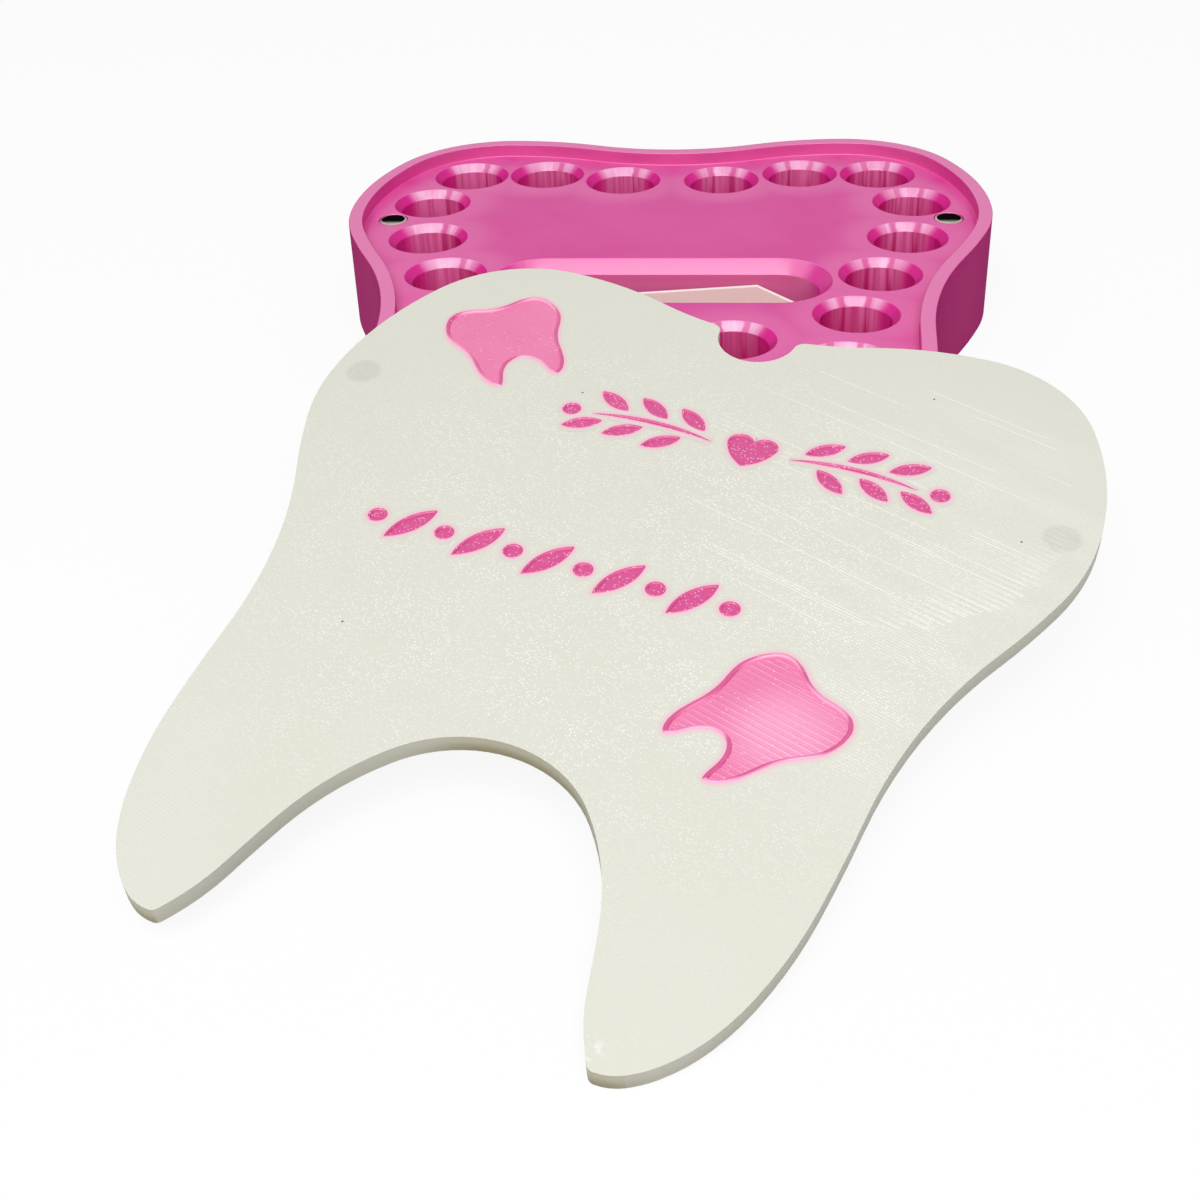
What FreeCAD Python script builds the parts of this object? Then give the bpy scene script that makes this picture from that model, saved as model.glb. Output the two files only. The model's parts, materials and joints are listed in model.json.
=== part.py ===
import FreeCAD, Part
import Sketcher
import math
import os

# Keepsake box for milk teeth: a tooth-shaped tray and its flush magnetic lid, which leans open on the tray.
# The tray stands on Z = 0 with the tooth's crown towards +Y. Lengths are in millimetres.

SIZES = {
    # The lid's plate and the tray that takes it
    "lid_width": 107.0,
    "lid_length": 121.0,
    "lid_thickness": 2.3,
    "lid_clearance": 0.35,
    "rim_wall": 2.4,
    "tray_height": 17.8,
    "tray_floor": 2.0,
    # Tooth pockets and the long compartment
    "pocket_bore": 11.3,
    "pocket_bevel": 1.3,
    "slot_length": 52.2,
    "slot_width": 13.9,
    "slot_bevel": 2.1,
    # Finger notch in the lid's crown
    "notch_radius": 5.6,
    "notch_depth": 6.1,
    "notch_blend": 1.6,
    # Disc magnets
    "magnet_diameter": 5.0,
    "magnet_height": 2.0,
    "magnet_clearance": 0.05,
    "magnet_inset": 4.4,
    # Inlays let into the lid's top
    "inlay_depth": 0.8,
    "inlay_sink": 0.15,
    "inlay_clearance": 0.05,
    "row_leaf_angle": 58.0,
    # Card lying in the compartment
    "card_thickness": 0.8,
    "card_lean_angle": 34.0,
    # Open pose of the lid: turn about Z, shift along X, and reach of its centre beyond the tray's root tips
    "lid_turn_angle": 19.7,
    "lid_shift": 2.5,
    "lid_reach": 27.5,
    # Clearance between loose pieces at rest, and how far a cut runs past the surface it opens
    "rest_gap": 0.1,
    "overrun": 1.0,
}

# Right half of the tooth outline from the crown's dip to the arch between the roots: places as shares of
# half the width and of the length, with the heading in degrees at each.
outline_shares = [
    (0.0, 0.455, 0.0),
    (0.586, 0.5, 0.0),
    (1.0, 0.235, -90.0),
    (0.879, 0.053, -116.0),
    (0.747, -0.184, -92.0),
    (0.688, -0.389, -107.0),
    (0.576, -0.477, -135.0),
    (0.472, -0.5, -180.0),
    (0.445, -0.488, -240.0),
    (0.357, -0.371, -254.0),
    (0.0, -0.218, -180.0),
]
widest_share = outline_shares[2][1]

# Tooth pockets of the right half, as shares of half the lid's width and of its length
pocket_shares = [
    (0.17, 0.394),
    (0.441, 0.42),
    (0.708, 0.415),
    (0.807, 0.3),
    (0.774, 0.163),
    (0.672, 0.033),
    (0.586, -0.097),
    (0.226, -0.175),
    (0.546, -0.237),
    (0.52, -0.368),
]
slot_place_share = 0.0128

# Places on the lid's top, as shares of half its width and of its length, with the turn in degrees
figure_shares = {"left": (-0.608, 0.346, 40.0), "right": (0.453, -0.11, -36.0)}
upper_ornament_shares = (0.14, 0.255, 0.0)
lower_ornament_shares = (-0.16, 0.02, 0.0)

# Sizes of the figures and ornaments, which grow with the lid, as shares of its width
figure_width_share = 0.156
heart_width_share = 0.0654
sprig_start_share = 0.0486
sprig_length_share = 0.1636
stem_width_share = 0.0084
stem_gap_share = 0.0121
leaf_length_share = 0.0542
leaf_width_share = 0.0215
bead_share = 0.0243
row_pitch_share = 0.0897
row_leaf_length_share = 0.0766
row_leaf_width_share = 0.0262

# Leaves along a sprig: share of its length, side of the stem and turn away from it in degrees
leaf_shares = [
    (0.1, 1, 38.0),
    (0.24, -1, 38.0),
    (0.42, 1, 34.0),
    (0.56, -1, 34.0),
    (0.74, 1, 30.0),
    (0.88, -1, 30.0),
]
stem_bow_share = 0.06
sprig_bead_share = 0.5

# A heart, as shares of its width: ends and middles of the two arcs of its right half
heart_shares = [
    ((0.0, 0.24), (0.27, 0.42), (0.5, 0.16)),
    ((0.5, 0.16), (0.33, -0.2), (0.0, -0.48)),
]

bead_count = 6

# Card outline with one clipped corner, as shares of half the compartment's length and of its own height
card_shares = [(-0.7, 0.0), (0.7, 0.0), (0.87, 0.767), (0.608, 0.995), (-0.84, 0.82)]

doc = FreeCAD.newDocument("milk_tooth_box")
sheet = doc.addObject("Spreadsheet::Sheet", "Sizes")
for row, (alias, number) in enumerate(SIZES.items(), start=1):
    sheet.set(f"A{row}", alias)
    sheet.set(f"B{row}", str(number))
    sheet.setAlias(f"B{row}", alias)
doc.recompute()


def size(alias):
    """A driving dimension, read from the sheet."""
    return float(sheet.get(alias))


def point(x, y, z=0.0):
    return FreeCAD.Vector(x, y, z)


def ahead(heading):
    """Unit step on a heading in radians."""
    return point(math.cos(heading), math.sin(heading))


# Outlines as chains of arcs


def arc_stations(start, end, leaving):
    """An arc as (place, heading) at its start, middle and end."""
    chord = end - start
    along = math.atan2(chord.y, chord.x)
    lean = math.remainder(leaving - along, math.tau)
    rise = chord.Length / 2 * math.tan(lean / 2)
    middle = (start + end) * 0.5 + ahead(along + math.pi / 2) * rise
    return [(start, leaving), (middle, along), (end, along - lean)]


def biarc(start, leaving, end, arriving):
    """Two arcs, tangent to each other, that leave and arrive on the given headings."""
    span = end - start
    out = ahead(leaving)
    into = ahead(arriving)
    turned = 2 * (1 - out.dot(into))
    forward = 2 * span.dot(out + into)
    reach = span.dot(span)
    arm = 2 * reach / (forward + math.sqrt(forward * forward + 4 * turned * reach))
    joint = (start + out * arm + end - into * arm) * 0.5
    first = arc_stations(start, joint, leaving)
    second = arc_stations(joint, end, first[-1][1])
    return [first, second]


def mirrored(arcs):
    """The left half that closes a right half running from top to bottom."""
    return [[point(-place.x, place.y) for place in reversed(arc)] for arc in reversed(arcs)]


def tooth_outline(width, length, grow=0.0):
    """The closed tooth outline as three-point arcs, grown outwards by a distance."""
    nodes = [(point(x * width / 2, y * length), math.radians(turn)) for x, y, turn in outline_shares]
    right = []
    for (start, leaving), (end, arriving) in zip(nodes, nodes[1:]):
        for arc in biarc(start, leaving, end, arriving):
            right.append([place + ahead(heading + math.pi / 2) * grow for place, heading in arc])
    return right + mirrored(right)


def lid_outline(grow=0.0):
    return tooth_outline(size("lid_width"), size("lid_length"), grow)


def arc_about(centre, start, end):
    """The shorter arc between two places on a circle."""
    radius = (start - centre).Length
    bisector = (start - centre) + (end - centre)
    return [start, centre + bisector * (radius / bisector.Length), end]


def notched_lid_outline():
    """The lid's outline with the finger notch and its two blends cut into the crown's dip."""
    outline = lid_outline()
    right = outline[: len(outline) // 2]
    dip, _, joint = right[0]
    dip_radius = (joint - dip).dot(joint - dip) / (2 * (joint.y - dip.y))
    dip_centre = point(0, dip.y + dip_radius)
    radius = size("notch_radius")
    blend = size("notch_blend")
    centre = point(0, dip.y - size("notch_depth") + radius)
    apart = dip_centre.y - centre.y
    to_notch = radius + blend
    to_dip = dip_radius + blend
    up = (to_notch**2 - to_dip**2 + apart**2) / (2 * apart)
    blend_centre = centre + point(math.sqrt(to_notch**2 - up**2), up)
    on_notch = centre + (blend_centre - centre) * (radius / to_notch)
    on_dip = dip_centre + (blend_centre - dip_centre) * (dip_radius / to_dip)
    bottom = arc_about(centre, centre - point(0, radius), on_notch)
    corner = arc_about(blend_centre, on_notch, on_dip)
    right = [bottom, corner, arc_about(dip_centre, on_dip, joint)] + right[1:]
    return right + mirrored(right)


def on_lid(share):
    """A length that follows the lid's width."""
    return share * size("lid_width")


def figure_outline(inset):
    """The small tooth figure, to the lid's own proportions."""
    return tooth_outline(on_lid(figure_width_share), figure_width_share * size("lid_length"), -inset)


def leaf_outline(length, width, inset, bow=0.0):
    """A pointed leaf along +X from its foot at the origin, its middle raised by the bow."""
    foot = point(2 * inset, 0)
    tip = point(length - 2 * inset, 0)
    above = point(length / 2, bow + width / 2 - inset)
    below = point(length / 2, bow - width / 2 + inset)
    return [[foot, above, tip], [tip, below, foot]]


def bead_outline(inset):
    radius = on_lid(bead_share) / 2 - inset
    return [
        [point(0, radius), point(radius, 0), point(0, -radius)],
        [point(0, -radius), point(-radius, 0), point(0, radius)],
    ]


def heart_outline(inset):
    width = on_lid(heart_width_share) - 2 * inset
    right = [[point(x * width, y * width) for x, y in arc] for arc in heart_shares]
    return right + mirrored(right)


def spot(x, y, turn):
    """Placement in the lid's plane, the turn in degrees."""
    return FreeCAD.Placement(point(x, y), FreeCAD.Rotation(point(0, 0, 1), turn))


def lid_spot(shares):
    """Placement on the lid from shares of half its width and of its length."""
    return spot(shares[0] * size("lid_width") / 2, shares[1] * size("lid_length"), shares[2])


def placed(arcs, place):
    """A loop of three-point arcs, moved to a placement."""
    return [[place.multVec(station) for station in arc] for arc in arcs]


def sprig_loops(inset):
    """A bowed stem along +X with its leaves and the bead at its end."""
    length = on_lid(sprig_length_share)
    leaf = on_lid(leaf_length_share)
    rise = stem_bow_share * length
    stem_root = spot(on_lid(sprig_start_share), 0, 0)
    loops = [placed(leaf_outline(length, on_lid(stem_width_share), inset, rise), stem_root)]
    for along, hand, turn in leaf_shares:
        bow = 4 * rise * along * (1 - along)
        foot = spot(along * length, bow + hand * on_lid(stem_gap_share), hand * turn)
        loops.append(placed(leaf_outline(leaf, on_lid(leaf_width_share), inset), stem_root * foot))
    tip = spot(length + sprig_bead_share * leaf, 0, 0)
    loops.append(placed(bead_outline(inset), stem_root * tip))
    return loops


def upper_ornament_loops(inset):
    """A heart between two mirrored sprigs of leaves."""
    right = sprig_loops(inset)
    loops = [heart_outline(inset)] + right + [mirrored(loop) for loop in right]
    return [placed(loop, lid_spot(upper_ornament_shares)) for loop in loops]


def lower_ornament_loops(inset):
    """A row of beads with a slanted leaf between each two."""
    pitch = on_lid(row_pitch_share)
    leaf = on_lid(row_leaf_length_share)
    loops = []
    for index in range(bead_count):
        x = (index - (bead_count - 1) / 2) * pitch
        loops.append(placed(bead_outline(inset), spot(x, 0, 0)))
        if index < bead_count - 1:
            between = spot(x + pitch / 2, 0, size("row_leaf_angle")) * spot(-leaf / 2, 0, 0)
            loops.append(placed(leaf_outline(leaf, on_lid(row_leaf_width_share), inset), between))
    return [placed(loop, lid_spot(lower_ornament_shares)) for loop in loops]


def figure_loops(side, inset):
    return [placed(figure_outline(inset), lid_spot(figure_shares[side]))]


# Sketches and features


def draw(sketch, loops):
    """Adds closed loops of three-point arcs to a sketch."""
    for arcs in loops:
        for start, middle, end in arcs:
            anticlockwise = (middle - start).cross(end - middle).z > 0
            ends = (start, middle, end) if anticlockwise else (end, middle, start)
            sketch.addGeometry(Part.ArcOfCircle(*ends), False)


def origin_plane(body, role):
    return next(feature for feature in body.Origin.OriginFeatures if feature.Role == role)


def new_sketch(body, name, plane="XY_Plane", height=None):
    """A sketch on one of the body's origin planes, lifted by an expression."""
    sketch = body.newObject("Sketcher::SketchObject", name)
    sketch.AttachmentSupport = [(origin_plane(body, plane), "")]
    sketch.MapMode = "FlatFace"
    if height:
        sketch.setExpression("AttachmentOffset.Base.z", height)
    return sketch


def new_body(label):
    body = doc.addObject("PartDesign::Body", label)
    body.Label = label
    return body


def extruded(body, kind, sketch, name, length, reverse=False):
    """A Pad or Pocket of a sketch, its length bound to an expression."""
    feature = body.newObject(f"PartDesign::{kind}", name)
    feature.Profile = sketch
    feature.setExpression("Length", length)
    feature.Reversed = reverse
    sketch.Visibility = False
    doc.recompute()
    return feature


def bevelled(body, base, name, edges, width):
    """A Chamfer on the named edges of a feature, its width bound to an expression."""
    chamfer = body.newObject("PartDesign::Chamfer", name)
    chamfer.Base = (base, edges)
    chamfer.setExpression("Size", width)
    doc.recompute()
    return chamfer


def edges_where(feature, test):
    return [f"Edge{number}" for number, edge in enumerate(feature.Shape.Edges, start=1) if test(edge)]


def bind(sketch, constraint, expression):
    """Adds a constraint whose value follows an expression."""
    index = sketch.addConstraint(constraint)
    sketch.setExpression(f"Constraints[{index}]", expression)


LEDGE = "Sizes.tray_height - Sizes.lid_thickness"
POCKET_DEPTH = f"{LEDGE} - Sizes.tray_floor"
MAGNET_X = "Sizes.lid_width / 2 - Sizes.magnet_inset"
MAGNET_Y = f"Sizes.lid_length * {widest_share}"
SEAT_RADIUS = "Sizes.magnet_diameter / 2 + Sizes.magnet_clearance"
SIDES = {"left": -1, "right": 1}
SAME = 1e-6


def magnet_place(sign):
    reach = size("lid_width") / 2 - size("magnet_inset")
    return point(sign * reach, size("lid_length") * widest_share)


def magnet_seats(sketch):
    """One circle for each magnet's pocket, mirrored about the middle."""
    radius = size("magnet_diameter") / 2 + size("magnet_clearance")
    for seat, sign in enumerate(SIDES.values()):
        centre = magnet_place(sign)
        sketch.addGeometry(Part.Circle(centre, point(0, 0, 1), radius), False)
        bind(sketch, Sketcher.Constraint("DistanceX", -1, 1, seat, 3, centre.x), f"{sign} * ({MAGNET_X})")
        bind(sketch, Sketcher.Constraint("DistanceY", -1, 1, seat, 3, centre.y), MAGNET_Y)
        bind(sketch, Sketcher.Constraint("Radius", seat, radius), SEAT_RADIUS)


def tooth_pocket_profile(sketch):
    """Half section of a tooth pocket about the sketch's V axis, with its bevelled mouth at the H axis."""
    radius = size("pocket_bore") / 2
    mouth = size("pocket_bevel")
    depth = size("tray_height") - size("lid_thickness") - size("tray_floor")
    top = size("overrun")
    corners = [point(0, -depth), point(radius, -depth), point(radius, -mouth)]
    rim = [point(radius + mouth, 0), point(radius + mouth, top), point(0, top)]
    sketch.addGeometry(
        [
            Part.LineSegment(corners[0], corners[1]),
            Part.LineSegment(corners[1], corners[2]),
            Part.LineSegment(corners[2], rim[0]),
            Part.LineSegment(rim[0], rim[1]),
            Part.LineSegment(rim[1], rim[2]),
            Part.LineSegment(rim[2], corners[0]),
        ],
        False,
    )
    floor, wall, bevel, lip, lid, axis = range(6)
    sketch.addConstraint(
        [
            Sketcher.Constraint("Coincident", floor, 2, wall, 1),
            Sketcher.Constraint("Coincident", wall, 2, bevel, 1),
            Sketcher.Constraint("Coincident", bevel, 2, lip, 1),
            Sketcher.Constraint("Coincident", lip, 2, lid, 1),
            Sketcher.Constraint("Coincident", lid, 2, axis, 1),
            Sketcher.Constraint("Coincident", axis, 2, floor, 1),
            Sketcher.Constraint("Horizontal", floor),
            Sketcher.Constraint("Vertical", wall),
            Sketcher.Constraint("Vertical", lip),
            Sketcher.Constraint("Horizontal", lid),
            Sketcher.Constraint("Vertical", axis),
            Sketcher.Constraint("PointOnObject", floor, 1, -2),
            Sketcher.Constraint("PointOnObject", bevel, 2, -1),
        ]
    )
    bind(sketch, Sketcher.Constraint("DistanceX", bevel, 1, bevel, 2, mouth), "Sizes.pocket_bevel")
    bind(sketch, Sketcher.Constraint("DistanceY", bevel, 1, bevel, 2, mouth), "Sizes.pocket_bevel")
    bind(sketch, Sketcher.Constraint("DistanceX", -1, 1, floor, 2, radius), "Sizes.pocket_bore / 2")
    bind(sketch, Sketcher.Constraint("DistanceY", floor, 1, -1, 1, depth), POCKET_DEPTH)
    bind(sketch, Sketcher.Constraint("DistanceY", -1, 1, lid, 2, top), "Sizes.overrun")


def compartment_profile(sketch):
    """A slot with round ends, across the tray."""
    half = (size("slot_length") - size("slot_width")) / 2
    radius = size("slot_width") / 2
    y = size("lid_length") * slot_place_share
    ends = {sign: point(sign * half, y) for sign in SIDES.values()}
    for sign, centre in ends.items():
        top = centre + point(0, radius)
        bottom = centre - point(0, radius)
        first, last = (bottom, top) if sign > 0 else (top, bottom)
        sketch.addGeometry(Part.ArcOfCircle(first, centre + point(sign * radius, 0), last), False)
    for side in (1, -1):
        rise = point(0, side * radius)
        sketch.addGeometry(Part.LineSegment(ends[-1] + rise, ends[1] + rise), False)
    left, right, back, front = range(4)
    sketch.addConstraint(
        [
            Sketcher.Constraint("Tangent", left, 1, back, 1),
            Sketcher.Constraint("Tangent", back, 2, right, 2),
            Sketcher.Constraint("Tangent", right, 1, front, 2),
            Sketcher.Constraint("Tangent", front, 1, left, 2),
        ]
    )
    reach = "(Sizes.slot_length - Sizes.slot_width) / 2"
    for geometry, sign in ((left, -1), (right, 1)):
        bind(sketch, Sketcher.Constraint("DistanceX", -1, 1, geometry, 3, sign * half), f"{sign} * {reach}")
    middle = f"Sizes.lid_length * {slot_place_share}"
    bind(sketch, Sketcher.Constraint("DistanceY", -1, 1, right, 3, y), middle)
    bind(sketch, Sketcher.Constraint("Radius", right, radius), "Sizes.slot_width / 2")
    sketch.addConstraint(Sketcher.Constraint("Horizontal", back))


# The tray


def make_tray():
    tray = new_body("tray")
    outside = new_sketch(tray, "tray_outline")
    draw(outside, [lid_outline(size("lid_clearance") + size("rim_wall"))])
    extruded(tray, "Pad", outside, "tray_block", "Sizes.tray_height")

    recess = new_sketch(tray, "recess_outline", height="Sizes.tray_height")
    draw(recess, [lid_outline(size("lid_clearance"))])
    extruded(tray, "Pocket", recess, "lid_recess", "Sizes.lid_thickness")

    slot = new_sketch(tray, "slot_outline", height=LEDGE)
    compartment_profile(slot)
    compartment = extruded(tray, "Pocket", slot, "compartment", POCKET_DEPTH)
    ledge = size("tray_height") - size("lid_thickness")
    reach = size("slot_length") / 2 + size("overrun")
    back = size("lid_length") * slot_place_share + size("slot_width") / 2 + size("overrun")
    front = size("lid_length") * slot_place_share - size("slot_width") / 2 - size("overrun")

    def on_mouth(edge):
        box = edge.BoundBox
        level = abs(box.ZMin - ledge) + abs(box.ZMax - ledge) < SAME
        return level and abs(box.Center.x) < reach and box.YMax < back and box.YMin > front

    bevelled(tray, compartment, "compartment_mouth", edges_where(compartment, on_mouth), "Sizes.slot_bevel")

    grooves = []
    for number, (x, y) in enumerate(pocket_shares, start=1):
        section = new_sketch(tray, f"tooth_pocket_section_{number}", "XZ_Plane")
        tooth_pocket_profile(section)
        section.setExpression("AttachmentOffset.Base.x", f"Sizes.lid_width / 2 * {x}")
        section.setExpression("AttachmentOffset.Base.y", LEDGE)
        section.setExpression("AttachmentOffset.Base.z", f"-Sizes.lid_length * {y}")
        groove = tray.newObject("PartDesign::Groove", f"tooth_pocket_{number}")
        groove.Profile = section
        groove.ReferenceAxis = (section, ["V_Axis"])
        groove.Angle = 360.0
        section.Visibility = False
        grooves.append(groove)
    doc.recompute()
    other_half = tray.newObject("PartDesign::Mirrored", "left_tooth_pockets")
    other_half.Originals = grooves
    other_half.MirrorPlane = (origin_plane(tray, "YZ_Plane"), [""])
    tray.Tip = other_half
    doc.recompute()

    seats = new_sketch(tray, "magnet_seats", height=LEDGE)
    magnet_seats(seats)
    extruded(tray, "Pocket", seats, "magnet_pockets", "Sizes.magnet_height")
    return tray


# The lid and what is let into it, in the lid's own frame with its underside on Z = 0


def make_lid():
    lid = new_body("lid")
    outline = new_sketch(lid, "lid_outline")
    draw(outline, [notched_lid_outline()])
    extruded(lid, "Pad", outline, "lid_plate", "Sizes.lid_thickness")

    seats = new_sketch(lid, "lid_magnet_seats")
    magnet_seats(seats)
    extruded(lid, "Pocket", seats, "lid_magnet_pockets", "Sizes.magnet_height", reverse=True)

    recesses = new_sketch(lid, "inlay_outlines", height="Sizes.lid_thickness")
    for side in SIDES:
        draw(recesses, figure_loops(side, 0.0))
    draw(recesses, upper_ornament_loops(0.0))
    draw(recesses, lower_ornament_loops(0.0))
    extruded(lid, "Pocket", recesses, "inlay_pockets", "Sizes.inlay_depth")
    return lid


def make_inlay(label, loops):
    """Inlay pieces that fill the bottom of their pockets."""
    inlay = new_body(label)
    inlay.AllowCompound = True
    outline = new_sketch(inlay, f"{label}_outline", height="Sizes.lid_thickness - Sizes.inlay_depth")
    draw(outline, loops)
    extruded(inlay, "Pad", outline, f"{label}_pad", "Sizes.inlay_depth - Sizes.inlay_sink")
    return inlay


def make_magnet(label, sign):
    """A disc magnet with its underside on Z = 0."""
    magnet = doc.addObject("Part::Cylinder", label)
    magnet.Label = label
    magnet.setExpression("Radius", "Sizes.magnet_diameter / 2")
    magnet.setExpression("Height", "Sizes.magnet_height")
    magnet.Placement.Base = magnet_place(sign)
    return magnet


def make_tray_magnet(label, sign):
    """A disc magnet flush with the tray's ledge."""
    magnet = make_magnet(label, sign)
    magnet.setExpression("Placement.Base.x", f"{sign} * ({MAGNET_X})")
    magnet.setExpression("Placement.Base.y", MAGNET_Y)
    magnet.setExpression("Placement.Base.z", f"{LEDGE} - Sizes.magnet_height")
    return magnet


# The card in the compartment


def make_card():
    """A card that stands at the front of the compartment's floor and leans on its back wall."""
    lean = math.radians(size("card_lean_angle"))
    thickness = size("card_thickness")
    gap = size("rest_gap")
    middle = size("lid_length") * slot_place_share
    foot = middle - size("slot_width") / 2 + thickness * math.sin(lean) + gap
    top = middle + size("slot_width") / 2 - gap
    height = (top - foot) / math.cos(lean)
    card = new_body("keepsake_card")
    outline = new_sketch(card, "card_outline")
    corners = [point(x * size("slot_length") / 2, y * height) for x, y in card_shares]
    for start, end in zip(corners, corners[1:] + corners[:1]):
        outline.addGeometry(Part.LineSegment(start, end), False)
    extruded(card, "Pad", outline, "card_sheet", "Sizes.card_thickness")
    tilt = FreeCAD.Rotation(point(1, 0, 0), size("card_lean_angle"))
    card.Placement = FreeCAD.Placement(point(0, foot, size("tray_floor") + gap), tilt)
    return card


# The lid's open pose


def open_pose(lid):
    """The lid rests on the rim above the tray's two root tips, with its own lowest root tip on the table."""
    turn = FreeCAD.Rotation(point(0, 0, 1), -size("lid_turn_angle"))
    turned = lid.Shape.copy()
    turned.Placement = FreeCAD.Placement(point(0, 0), turn)
    lowest = turned.optimalBoundingBox(False).YMin
    reach = size("lid_reach")
    slope = math.asin(size("tray_height") / (reach - lowest))
    tray_tips = -size("lid_length") / 2 - size("lid_clearance") - size("rim_wall")
    tilt = FreeCAD.Rotation(point(1, 0, 0), math.degrees(slope))
    contact = point(-size("lid_shift"), tray_tips, size("tray_height"))
    base = contact + tilt.multVec(point(0, -reach, size("rest_gap")))
    return FreeCAD.Placement(base, tilt.multiply(turn))


tray = make_tray()
lid = make_lid()
card = make_card()
nodes = [tray, lid, card]
carried = [lid]
for side, sign in SIDES.items():
    nodes.append(make_tray_magnet(f"tray_magnet_{side}", sign))
    carried.append(make_magnet(f"lid_magnet_{side}", sign))
    carried.append(make_inlay(f"tooth_inlay_{side}", figure_loops(side, size("inlay_clearance"))))
carried.append(make_inlay("upper_ornament", upper_ornament_loops(size("inlay_clearance"))))
carried.append(make_inlay("lower_ornament", lower_ornament_loops(size("inlay_clearance"))))
doc.recompute()

pose = open_pose(lid)
for piece in carried:
    piece.Placement = pose.multiply(piece.Placement)
nodes += carried[1:]
doc.recompute()

for item in doc.Objects:
    if "Invalid" in item.State or "Error" in item.State:
        raise RuntimeError(f"{item.Label} failed: {item.State}")
for node in nodes:
    if node.Shape.isNull() or not node.Shape.isValid():
        raise RuntimeError(f"{node.Label} has no valid shape")

os.makedirs("parts", exist_ok=True)
for node in nodes:
    node.Shape.exportStep(os.path.join("parts", f"{node.Label}.step"))
    print(f"{node.Label}: {len(node.Shape.Solids)} solids, {node.Shape.Volume:.1f} mm3")
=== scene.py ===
"""Looks for the packed milk tooth box: a pink printed tray, a pearly lid with inlays, and a stage."""

import json
import math

import bmesh
import bpy
from mathutils import Matrix, Vector
from mathutils.kdtree import KDTree


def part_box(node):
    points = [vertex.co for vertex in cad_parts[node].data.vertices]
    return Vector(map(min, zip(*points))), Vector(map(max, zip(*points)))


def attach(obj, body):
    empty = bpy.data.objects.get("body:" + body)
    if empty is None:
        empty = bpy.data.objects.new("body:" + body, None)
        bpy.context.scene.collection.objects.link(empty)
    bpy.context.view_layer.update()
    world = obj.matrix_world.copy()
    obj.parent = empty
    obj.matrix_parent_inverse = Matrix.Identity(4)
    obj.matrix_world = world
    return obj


bl_info = {
    "name": "Milk tooth box looks",
    "version": (1, 0, 0),
    "blender": (4, 5, 0),
    "location": "3D View > Sidebar > Tooth box",
    "description": "Printed finishes, inlay beads and a stage for a milk tooth keepsake box",
    "category": "Object",
}

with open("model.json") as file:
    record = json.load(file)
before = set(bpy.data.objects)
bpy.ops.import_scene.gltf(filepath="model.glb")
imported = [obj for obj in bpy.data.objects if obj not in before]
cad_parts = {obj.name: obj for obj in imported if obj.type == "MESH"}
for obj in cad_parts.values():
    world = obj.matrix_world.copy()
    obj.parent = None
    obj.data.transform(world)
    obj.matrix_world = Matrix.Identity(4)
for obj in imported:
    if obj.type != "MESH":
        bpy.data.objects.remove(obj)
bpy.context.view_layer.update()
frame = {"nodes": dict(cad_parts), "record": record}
nodes = frame["nodes"]

MM = 0.001
# Corners closer together than this are one corner
WELD = 1e-6
# Edges sharper than the first angle are softened; faces within the second one are joined
SHARP_ANGLE = math.radians(30)
FLAT_ANGLE = math.radians(1)
# The glow's ribbons lie just above the lid, each a little higher than the one before
GLOW_GAP = 1e-5
GLOW_STEP = 2e-6
GLOW_ROWS = (0.0, 0.35, 0.7, 1.0)
# How far a bead reaches over the outline of its figure or of its ornament's piece
BEAD_OVERLAP = 0.1 * MM
FINE_OVERLAP = 0.08 * MM
# A line that fills a figure: its width as a share of the pitch, its height as a share of its width
LINE_WIDTH = 1.1
LINE_HEIGHT = 0.28
# A tooth pocket reaches, bevel and all, this share of its opening's width from its middle
POCKET_REACH = 0.9
# Seams in the walls of the tooth pockets: one in each left pocket, two in each right one
LEFT_SEAM = math.radians(-109)
RIGHT_SEAMS = math.radians(-90)
SEAM_SPREAD = math.radians(20)
# Middle and radius, in millimetres, of the bend where the lines on the lid's crown turn back
BEND_MIDDLE = (25.0, 1.0, 0.0)
BEND_RADIUS = 25.6
# How much of each colour the card's fibres keep
FIBRE_SHARES = (0.95, 0.9, 0.87, 1.0)
# Half the side of the floor, how far it lies below the object, and the width of the camera's frame
FLOOR_REACH = 3.0
FLOOR_DROP = 0.0001
FRAME_WIDTH = 36.0

FIGURES = ("tooth_inlay_left", "tooth_inlay_right")
# The figure that catches the light
SHINING = "tooth_inlay_right"
ORNAMENTS = ("upper_ornament", "lower_ornament")
MAGNETS = ("tray_magnet_left", "tray_magnet_right", "lid_magnet_left", "lid_magnet_right")
# Heights in millimetres of the tray's ledge, with which its magnets are flush, and of its rim
MAGNET_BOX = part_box("tray_magnet_left")
LEDGE = MAGNET_BOX[1][2] / MM
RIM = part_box("tray")[1][2] / MM


# Sizes and colours


def paint(red, green, blue):
    """A linear colour from the levels, 0 to 255, at which it should show."""

    def linear(level):
        share = level / 255
        return share / 12.92 if share <= 0.04045 else ((share + 0.055) / 1.055) ** 2.4

    return (linear(red), linear(green), linear(blue), 1.0)


def colour(name, description, *levels):
    return bpy.props.FloatVectorProperty(
        name=name,
        description=description,
        subtype="COLOR",
        size=4,
        min=0.0,
        max=1.0,
        default=paint(*levels),
    )


def length(name, description, millimetres):
    return bpy.props.FloatProperty(
        name=name,
        description=description,
        subtype="DISTANCE",
        unit="LENGTH",
        precision=5,
        default=millimetres * MM,
    )


def angle(name, description, degrees):
    return bpy.props.FloatProperty(
        name=name,
        description=description,
        subtype="ANGLE",
        unit="ROTATION",
        default=math.radians(degrees),
    )


def amount(name, description, number, high=1.0):
    return bpy.props.FloatProperty(
        name=name, description=description, subtype="FACTOR", min=0.0, max=high, default=number
    )


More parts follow.
